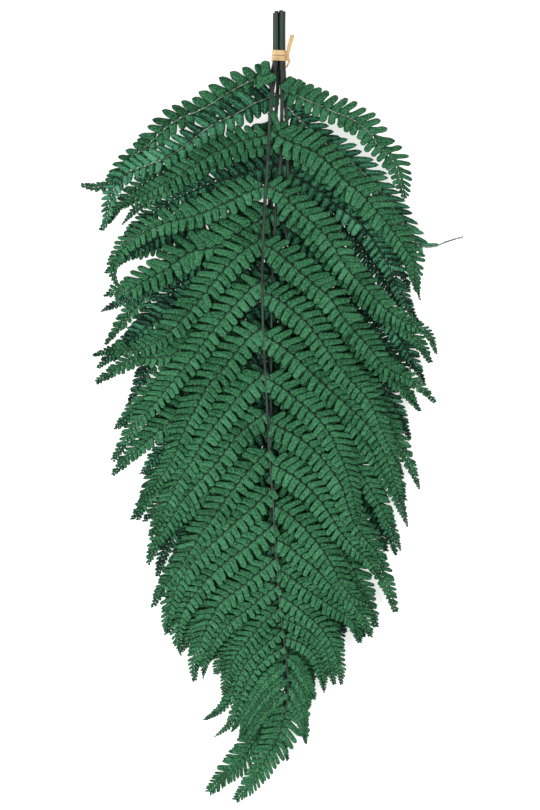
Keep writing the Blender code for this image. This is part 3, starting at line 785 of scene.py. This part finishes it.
def measured(line):
    """A line as a function of the share walked along it, and its length."""
    walked = np.concatenate(((0.0,), np.cumsum(np.hypot(*np.diff(line, axis=0).T))))

    def place(share):
        return np.array((np.interp(share * walked[-1], walked, line[:, 0]),
                         np.interp(share * walked[-1], walked, line[:, 1])))

    return place, float(walked[-1])


def pinna_line(frond, row, places, side):
    """A pinna's rib from above, from its row on the stem to its tip."""
    root = stem_place(frond, row)
    if len(places) == 1:
        return measured(bowed_line(root, on_surface(*places[0]), side))
    return measured(smooth_line([root] + [on_surface(*place) for place in places]))


def heading(curve, share):
    ahead = curve(min(share + 0.015, 1.0)) - curve(max(share - 0.015, 0.0))
    return ahead / np.hypot(*ahead)


def pinnules_along(curve, length, widths, habit, tilt, draw, tones, fading=0.0):
    """The leaflets down both sides of a rib, as rows of numbers for lay_pinnules."""
    rows = []
    half_width = habit["half_width"]
    for edge in (1, -1):
        tip_side = tilt * edge > 0
        angle = math.radians(habit["tip_angle"] if tip_side or tilt == 0 else habit["stem_angle"])
        share = FIRST_PINNULE / length + (0.0 if edge == 1 else 0.35 * habit["step"] / length)
        while share < 0.995 * habit["leafy"]:
            full = widths(share)
            here = habit["step"] * (1.0 - 0.30 * share ** 1.2) * (0.22 + 0.78 * full ** 0.6)
            here = max(LEAST_STEP, here * draw.uniform(0.94, 1.06))
            lean = angle * (1.0 - 0.28 * share ** 1.5) * (0.72 + 0.28 * min(1.0, 4.0 * full))
            unruly = min(1.0, abs(curve(share)[0]) / UNRULY_PLACE)
            swung = habit["swing"] * share if tip_side else 0.0
            lean += draw.gauss(0.0, 0.035 + 0.055 * unruly) + swung
            reach = half_width * full / math.sin(lean) * draw.uniform(0.92 - 0.08 * unruly, 1.06)
            reach *= TIP_SIDE_REACH if tip_side else STEM_SIDE_REACH
            ahead = heading(curve, share)
            across = np.array((-ahead[1], ahead[0])) * edge
            root = curve(share)
            out = ahead * math.cos(lean) + across * math.sin(lean)
            width = here * math.sin(lean) * (habit["fill"] + 0.12 * max(0.0, 1.0 - 3.0 * full))
            # Painted light and shade: leaflets on the side towards the frond's tip, lying over the next
            # pinna, are toned lighter. Those on the stem side, tucked under the pinna before, are toned
            # darker.
            tone = tones + (SIDE_LIGHT_AND_SHADE if tip_side else -SIDE_LIGHT_AND_SHADE) + fading * min(1.0, 2.5 * share)
            tone += draw.gauss(0.0, 0.05 + 0.05 * unruly)
            roll = draw.uniform(0.05, 0.22)
            pitch = draw.gauss(-0.01, 0.03)
            bend = draw.uniform(*habit["bend"])
            rows.append((*root, *out, *ahead, reach, width, edge, half_width, tilt, tone, roll, pitch,
                         bend, habit["slit_shade_strength"], habit["pointed"]))
            share += here / length
    return rows


def lay_pinnules(name, frond, shape, rows, materials, seed):
    """Copies of the leaflet, each bent to its place, in one mesh."""
    table = np.array(rows)[:, :, None]
    (root_x, root_y, out_x, out_y, ahead_x, ahead_y, reach, width, edge, half_width, tilt, tone, roll,
     pitch, bend, slit_shade_strength, pointed) = (table[:, index] for index in range(table.shape[1]))
    along = shape["along"][None, :]
    thick = shape["thick"][None, :]
    ragged = np.random.default_rng(seed).normal(1.0, 0.055, (len(rows), len(shape["along"])))
    sideways = shape["width"][None, :] * np.where(np.abs(shape["across"]) > 0.9, ragged, 1.0)
    sideways = sideways * (1.0 - pointed * along ** 3)
    forward = along * reach
    curl = bend * along ** 2 * reach
    turn_x = out_x + 2.0 * bend * along * ahead_x
    turn_y = out_y + 2.0 * bend * along * ahead_y
    size = np.hypot(turn_x, turn_y)
    turn_x, turn_y = turn_x / size, turn_y / size
    right_x, right_y = turn_y * edge, -turn_x * edge
    x = root_x + out_x * forward + ahead_x * curl + right_x * sideways * width
    y = root_y + out_y * forward + ahead_y * curl + right_y * sideways * width
    lateral = ((x - root_x) * -ahead_y + (y - root_y) * ahead_x) / half_width
    lateral = np.clip(lateral, -1.25, 1.25)
    gap = layer_gap(x, y)
    z = layer_height(frond, x, y) + PINNA_LIFT + (tilt * lateral - CROWN * lateral ** 2) * gap
    z += thick * LEAF_THICKNESS * np.minimum(1.0, width / 0.002)
    z -= LEAFLET_CUP * sideways ** 2 * width
    z += sideways * width * roll + forward * pitch
    z = np.maximum(z, LEAST_HEIGHT + (thick + 1.0) * 0.0001)
    count, points = x.shape
    places = np.stack((x, y, z), axis=2).reshape(-1, 3)
    faces = (shape["faces"][None, :, :] + (np.arange(count) * points)[:, None, None]).reshape(-1, 4)
    mirrored = np.repeat(edge[:, 0] > 0, len(shape["faces"]))
    faces[mirrored] = faces[mirrored][:, ::-1]
    mesh = bpy.data.meshes.new(name)
    mesh.from_pydata(places.tolist(), [], faces.tolist())
    slots = np.tile(shape["lower"].astype(int), count)
    mesh.polygons.foreach_set("material_index", slots)
    mesh.polygons.foreach_set("use_smooth", np.ones(len(faces), bool))
    local = faces.reshape(-1) % points
    unrolled = np.stack((shape["across"][local] * 0.5 + 0.5, shape["along"][local]), axis=1)
    layer = mesh.uv_layers.new(name="leaflet")
    layer.data.foreach_set("uv", unrolled.reshape(-1).astype(np.float32))
    for attribute, column in (("tone", tone), ("slit_shade_strength", slit_shade_strength)):
        values = mesh.attributes.new(attribute, "FLOAT", "POINT")
        values.data.foreach_set("value", np.repeat(column[:, 0], points).astype(np.float32))
    for material in materials:
        mesh.materials.append(material)
    leaflets = bpy.data.objects.new(name, mesh)
    bpy.context.scene.collection.objects.link(leaflets)
    return leaflets


def rib_line(frond, curve, radius, taper):
    """A pinna's rib as a line of places with its radii."""
    places = []
    radii = []
    for index in range(RIB_POINTS):
        share = 0.99 * index / (RIB_POINTS - 1)
        spot = curve(share)
        height = float(layer_height(frond, spot[0], spot[1])) + PINNA_LIFT + 0.00012
        places.append((spot[0], spot[1], max(height, 0.0005)))
        radii.append(radius * (1.0 - taper * share))
    return places, radii


def rib_finish(name, stops):
    """The horny skin of a rib, uneven in colour."""
    skin, shader = new_material(name)
    place = add(skin, "ShaderNodeTexCoord").outputs["Object"]
    streaks = add(skin, "ShaderNodeTexNoise", {"Vector": place, "Scale": 260.0, "Detail": 2.0})
    skin.node_tree.links.new(colour_ramp(skin, streaks.outputs["Fac"], stops), shader.inputs["Base Color"])
    shader.inputs["Roughness"].default_value = STALK_ROUGHNESS
    return skin


dark_rib = rib_finish("dyed_dark_rib", [(0.35, "#07130d"), (0.55, "#15241c"), (0.72, "#324239")])
pale_rib = rib_finish("bare_pale_rib", [(0.30, "#2f3d35"), (0.50, "#6f7d72"), (0.70, "#a3ada2")])

LAYER_TONES = {"frond_1": 0.42, "frond_2": 0.38, "frond_3": 0.52, "frond_4": 0.46, "frond_5": 0.38}

for number, (frond_name, frond) in enumerate(FRONDS.items()):
    draw = random.Random(frond_name)
    under_up = frond_name in UNDER_SIDE_UP
    leaflet_rows = []
    ribs = []
    pale_ribs = []
    for side_name, side in (("left", -1), ("right", 1)):
        pinnae = frond[side_name]
        rows = [row for row, places in pinnae]
        gaps = np.diff(rows + [2 * rows[-1] - rows[-2]]) * PIXEL
        for (row, places), gap in zip(pinnae, gaps):
            outer = row < OUTER_ROW
            blade = row > frond["tip_row"] - BLADE_ROWS
            curve, length = pinna_line(frond, row, places, side)
            habit = {**(OUTER_HABIT if outer else BLADE_HABIT if blade else INNER_HABIT),
                     **UNLIKE_PINNAE.get((frond_name, side_name, row), {})}
            widest = min(habit["half_width"], 0.003 + 0.155 * length, 0.56 * gap)
            habit["half_width"] = widest * draw.uniform(0.94, 1.04)
            short = max(0.0, 1.0 - length / SHORT_LENGTH)
            if not blade:
                habit["step"] *= 0.42 + 0.58 * min(1.0, length / FULL_LENGTH)
                habit["fill"] += 0.16 * short
            habit["slit_shade_strength"] *= 1.0 - 0.85 * short
            tail = draw.uniform(0.97, 1.03)
            tone = LAYER_TONES[frond_name] + habit["tone"] + draw.uniform(-0.05, 0.05)
            fading = UNDER_SIDE_FADING if under_up and outer else 0.0
            leaflet_rows += pinnules_along(
                curve, length, lambda share: width_share(share, tail, habit["taper"]), habit,
                -side * SHINGLE_TILT, draw, tone, fading)
            rib = rib_line(frond, curve, RIB_RADIUS * min(1.0, 0.5 + length / 0.25), habit["rib_taper"])
            (pale_ribs if outer else ribs).append(rib)
    tip_row = frond["tip_row"]
    end_row = frond["route"][-1][1]
    tip_line = np.array([stem_place(frond, row) for row in np.linspace(tip_row, end_row, 60)])
    curve, length = measured(tip_line)
    tip_habit = {**FROND_TIP_HABIT, "half_width": frond["tip_half_width"]}
    leaflet_rows += pinnules_along(
        curve, length, lambda share: 0.12 + 0.88 * (1.0 - share) ** 0.75, tip_habit,
        0.0, draw, LAYER_TONES[frond_name])
    shape = fine_pinnule if frond["layer"] > 2 else plain_pinnule
    sides = (leaf_under, leaf_upper) if under_up else (leaf_upper, leaf_under)
    lobes = [row for row in leaflet_rows if row[6] < LOBE_LENGTH]
    leaflet_rows = [row for row in leaflet_rows if row[6] >= LOBE_LENGTH]
    for piece_name, piece_shape, piece_rows in (("_leaflets", shape, leaflet_rows),
                                                ("_tail_lobes", tail_lobe, lobes)):
        leaflets = lay_pinnules(frond_name + piece_name, frond, piece_shape, piece_rows, sides, number)
        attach(leaflets, "root")
        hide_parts(frond_name)
    for rib_name, rib_lines, material in (("_ribs", ribs, dark_rib), ("_pale_ribs", pale_ribs, pale_rib)):
        if rib_lines:
            wires = stalks(frond_name + rib_name, rib_lines, 1)
            wires.data.materials.append(material)
            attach(wires, "root")
            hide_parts(frond_name)


# The lowest frond's first leaflets, close under the tie.
# One stands up beside the stems, one has curled forward over them, two stand at the right, and
# one hangs lower down. All are the same dyed leaf tissue, grown beside the stems.
# Each: its root, its tip, its half width, how far its tip rises, which way it bends, and its bend
FIRST_LEAFLETS = (
    ((266.8, 79.0), (265.6, 60.0), 0.0043, 0.0, -1, 0.05),
    ((256.5, 81.0), (275.5, 81.0), 0.0044, 0.0036, 1, -0.30),
    ((282.5, 90.0), (292.0, 76.5), 0.0040, 0.0, 1, 0.10),
    ((290.0, 92.5), (300.5, 79.0), 0.0036, 0.0, 1, 0.10),
    ((272.0, 112.0), (280.5, 131.0), 0.0026, 0.0026, 1, 0.05),
)
FIRST_LEAFLET_SEED = 9

leaflet_rows = []
for root, tip, width, lift, edge, bend in FIRST_LEAFLETS:
    root = on_surface(*root)
    out = on_surface(*tip) - root
    reach = float(np.hypot(*out))
    out = out / reach
    ahead = np.array((out[1], -out[0])) * edge
    leaflet_rows.append((*root, *out, *ahead, reach, width, edge, 0.02, 0.0, 0.36, 0.12, lift / reach,
                         bend, 0.2, 0.0))
over_stems = {**FRONDS["frond_1"], "tie_height": HIGH_STEM_HEIGHT + STEM_RADIUS}
first_leaflets = lay_pinnules("frond_5_first_leaflets", over_stems, fine_pinnule, leaflet_rows,
                              (leaf_upper, leaf_under), FIRST_LEAFLET_SEED)
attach(first_leaflets, "root")
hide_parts("frond_5")


# The tie: a strand of raffia, a palm leaf split into a flat straw-coloured strip.
# It is wound twice round the stems, pulled tight and knotted at the right. One end is cut
# square and stands up beside the stems; the other is twisted to a point.
RAFFIA_WIDTH = 0.0034
RAFFIA_SLANT = 0.048
WRAP_ROWS = (52.1, 57.6)
KNOT_PLACE = (288.0, 56.6)
RAFFIA_RIDGES = 9
TURN_THICKNESS = 0.00045
END_THICKNESS = 0.00040
RAFFIA_SKIN = 0.0001
BUNDLE_MIDDLE_HEIGHT = 0.0045
LEAST_TURN_HEIGHT = 0.00058
LOOP_STEPS = 96
END_STEPS = 36
STRAW_COLOURS = [(0.52, "#a8854f"), (0.70, "#d6b380"), (0.84, "#ecc998"), (1.0, "#f6d8ac")]

raffia_straw, shader = new_material("raffia_straw")
strip_map = add(raffia_straw, "ShaderNodeUVMap", uv_map="strip").outputs["UV"]
fibre_space = add(raffia_straw, "ShaderNodeMapping", {"Vector": strip_map, "Scale": (2600.0, 130.0, 1.0)})
fibres = add(raffia_straw, "ShaderNodeTexNoise",
             {"Vector": fibre_space.outputs["Vector"], "Scale": 1.0, "Detail": 4.0})
stains = add(raffia_straw, "ShaderNodeTexNoise",
             {"Vector": add(raffia_straw, "ShaderNodeTexCoord").outputs["Object"], "Scale": 160.0})
straw = add(raffia_straw, "ShaderNodeMath", {0: stains.outputs["Fac"], 1: 0.6, 2: fibres.outputs["Fac"]},
            operation="MULTIPLY_ADD")
straw_colour = colour_ramp(raffia_straw, straw.outputs["Value"], STRAW_COLOURS)
raffia_straw.node_tree.links.new(straw_colour, shader.inputs["Base Color"])
shader.inputs["Roughness"].default_value = 0.55
bump = add(raffia_straw, "ShaderNodeBump",
           {"Height": fibres.outputs["Fac"], "Strength": 0.6, "Distance": 0.0002})
raffia_straw.node_tree.links.new(bump.outputs["Normal"], shader.inputs["Normal"])


def stem_outline(steps):
    """The stems' bundle seen along the stems: where a strip stretched round it lies."""
    centres = [(float(stem_place(frond, TIE_ROW)[0]), frond["tie_height"]) for frond in FRONDS.values()]
    reach = STEM_RADIUS + TIE_GAP - RAFFIA_SKIN
    points = []
    for step in range(steps):
        angle = 2 * math.pi * step / steps
        direction = (math.cos(angle), math.sin(angle))
        outer = max(centres, key=lambda centre: centre[0] * direction[0] + centre[1] * direction[1])
        across = outer[0] + reach * direction[0]
        up = max(outer[1] + reach * direction[1], RAFFIA_THICKNESS - RAFFIA_SKIN)
        points.append((across, up))
    return points


def finish_strip(strip, name, thickness):
    """Gives a flat strip its thickness and its rounded edges."""
    thicken = strip.modifiers.new("thickness", "SOLIDIFY")
    thicken.thickness = thickness
    thicken.offset = 1.0
    thicken.use_even_offset = False
    deselect_all()
    strip.select_set(True)
    bpy.context.view_layer.objects.active = strip
    bpy.ops.object.modifier_apply(modifier=thicken.name)
    round_edges = strip.modifiers.new("rounded_edges", "BEVEL")
    round_edges.width = thickness * 0.4
    round_edges.segments = 2
    round_edges.limit_method = "ANGLE"
    bpy.ops.object.modifier_apply(modifier=round_edges.name)
    bpy.ops.object.shade_smooth_by_angle(angle=math.radians(40))
    strip.name = name
    strip.data.materials.append(raffia_straw)
    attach(strip, "root")
    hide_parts("raffia_tie")


loop = stem_outline(LOOP_STEPS)
loop_middle = sum(point[0] for point in loop) / LOOP_STEPS
for turn, row in enumerate(WRAP_ROWS):
    deselect_all()
    bpy.ops.mesh.primitive_grid_add(x_subdivisions=RAFFIA_RIDGES * 2, y_subdivisions=LOOP_STEPS, size=2)
    wrap = bpy.context.object
    strip_map = wrap.data.uv_layers.active
    strip_map.name = "strip"
    columns = {}
    for vertex in wrap.data.vertices:
        across = vertex.co.x
        step = round((vertex.co.y + 1.0) / 2.0 * LOOP_STEPS)
        columns[vertex.index] = (across, step)
        point = loop[step % LOOP_STEPS]
        ridge = 0.00006 * math.cos(across * math.pi * RAFFIA_RIDGES)
        ragged = 0.00010 * noise.noise(Vector((step * 0.25, across * 3.0, turn * 5.0)))
        spread = 1.0 + 0.10 * noise.noise(Vector((step * 0.11, turn * 9.0, 0.0)))
        outwards = Vector((point[0] - loop_middle, point[1] - BUNDLE_MIDDLE_HEIGHT)).normalized()
        x = point[0] + outwards.x * (ridge + ragged)
        z = max(point[1] + outwards.y * (ridge + ragged), LEAST_TURN_HEIGHT)
        y = float(on_surface(0, row)[1]) + across * RAFFIA_WIDTH / 2 * spread
        y -= (x - loop_middle) * RAFFIA_SLANT * (1.0 if z > BUNDLE_MIDDLE_HEIGHT else -0.3)
        vertex.co = (x, y, z)
    for corner in wrap.data.loops:
        across, step = columns[corner.vertex_index]
        strip_map.data[corner.index].uv = (across * RAFFIA_WIDTH / 2, step * 0.0004)
    bpy.ops.object.mode_set(mode="EDIT")
    bpy.ops.mesh.select_all(action="SELECT")
    bpy.ops.mesh.remove_doubles(threshold=0.000002)
    bpy.ops.mesh.normals_make_consistent(inside=False)
    bpy.ops.object.mode_set(mode="OBJECT")
    finish_strip(wrap, "raffia_turn_" + str(turn + 1), TURN_THICKNESS)


def loose_end(name, places, widths, curl, twist):
    """A loose end of the strip along its places, each a column, a row and a height."""
    deselect_all()
    bpy.ops.mesh.primitive_grid_add(x_subdivisions=RAFFIA_RIDGES * 2, y_subdivisions=END_STEPS, size=2)
    strip = bpy.context.object
    strip_map = strip.data.uv_layers.active
    strip_map.name = "strip"
    knots = np.linspace(0.0, 1.0, len(places))
    route = np.array([(*on_surface(column, row), height) for column, row, height in places])
    spots = {}
    for vertex in strip.data.vertices:
        across = vertex.co.x
        along = (vertex.co.y + 1.0) / 2.0
        spots[vertex.index] = (across, along)
        middle = Vector([float(np.interp(along, knots, route[:, axis])) for axis in range(3)])
        ahead = [float(np.interp(min(along + 0.03, 1.0), knots, route[:, axis])) for axis in range(3)]
        behind = [float(np.interp(max(along - 0.03, 0.0), knots, route[:, axis])) for axis in range(3)]
        run = (Vector(ahead) - Vector(behind)).normalized()
        half = float(np.interp(along, knots, widths)) / 2
        turned = twist * (1.0 - along)
        side = Vector((run.y, -run.x, 0.0)).normalized()
        rise = side.cross(run)
        ridge = 0.00005 * math.cos(across * math.pi * RAFFIA_RIDGES)
        hollow = curl * across * across
        frayed = 1.0 + 0.06 * noise.noise(Vector((along * 9.0, across, 3.0)))
        offset = across * half * frayed
        place = middle + side * (offset * math.cos(turned)) + rise * (offset * math.sin(turned))
        vertex.co = place + rise * (ridge + hollow)
        if along > 0.999:
            vertex.co += run * 0.00025 * noise.noise(Vector((across * 6.0, 0.0, 1.0)))
    length = sum((Vector(far) - Vector(near)).length for near, far in zip(route, route[1:]))
    for corner in strip.data.loops:
        across, along = spots[corner.vertex_index]
        strip_map.data[corner.index].uv = (across * RAFFIA_WIDTH / 2, along * length)
    finish_strip(strip, name, END_THICKNESS)


end_height = LOW_STEM_HEIGHT + 0.0006
loose_end("raffia_long_end",
          [(287.4, 59.0, end_height), (287.7, 56.0, end_height + 0.0004),
           (288.5, 51.0, end_height + 0.0008), (289.4, 46.0, end_height + 0.0012),
           (290.7, 41.0, end_height + 0.0014), (292.4, 34.0, end_height + 0.0012)],
          [0.0008, 0.0018, 0.0026, 0.0030, 0.0031, 0.0031], 0.00018, 0.9)
loose_end("raffia_short_end",
          [(286.4, 58.5, end_height + 0.0006), (288.3, 58.2, end_height + 0.0010),
           (289.3, 59.6, end_height + 0.0006), (288.8, 62.0, end_height),
           (287.6, 64.3, end_height - 0.0004), (286.6, 66.6, end_height - 0.0006)],
          [0.0014, 0.0018, 0.0018, 0.0013, 0.0008, 0.0004], 0.00010, 0.6)

deselect_all()
bpy.ops.mesh.primitive_uv_sphere_add(segments=40, ring_count=24, radius=1.0)
knot = bpy.context.object
knot_map = knot.data.uv_layers.active
knot_map.name = "strip"
for corner in knot_map.data:
    corner.uv = (corner.uv[0] * 0.008, corner.uv[1] * 0.004)
knot_middle = on_surface(*KNOT_PLACE)
for vertex in knot.data.vertices:
    fold = 1.0 + 0.16 * math.sin(vertex.co.y * 5.0 + vertex.co.z * 3.0) + 0.05 * math.sin(vertex.co.z * 17.0)
    waist = 1.0 - 0.25 * math.exp(-(vertex.co.y / 0.25) ** 2)
    x = knot_middle[0] - 0.0002 + vertex.co.x * 0.00125 * fold * waist
    y = knot_middle[1] + vertex.co.y * 0.0026
    vertex.co = (x, y, LOW_STEM_HEIGHT + 0.0006 + vertex.co.z * 0.0016 * fold)
bpy.ops.object.shade_smooth()
knot.name = "raffia_knot"
knot.data.materials.append(raffia_straw)
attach(knot, "root")
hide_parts("raffia_tie")
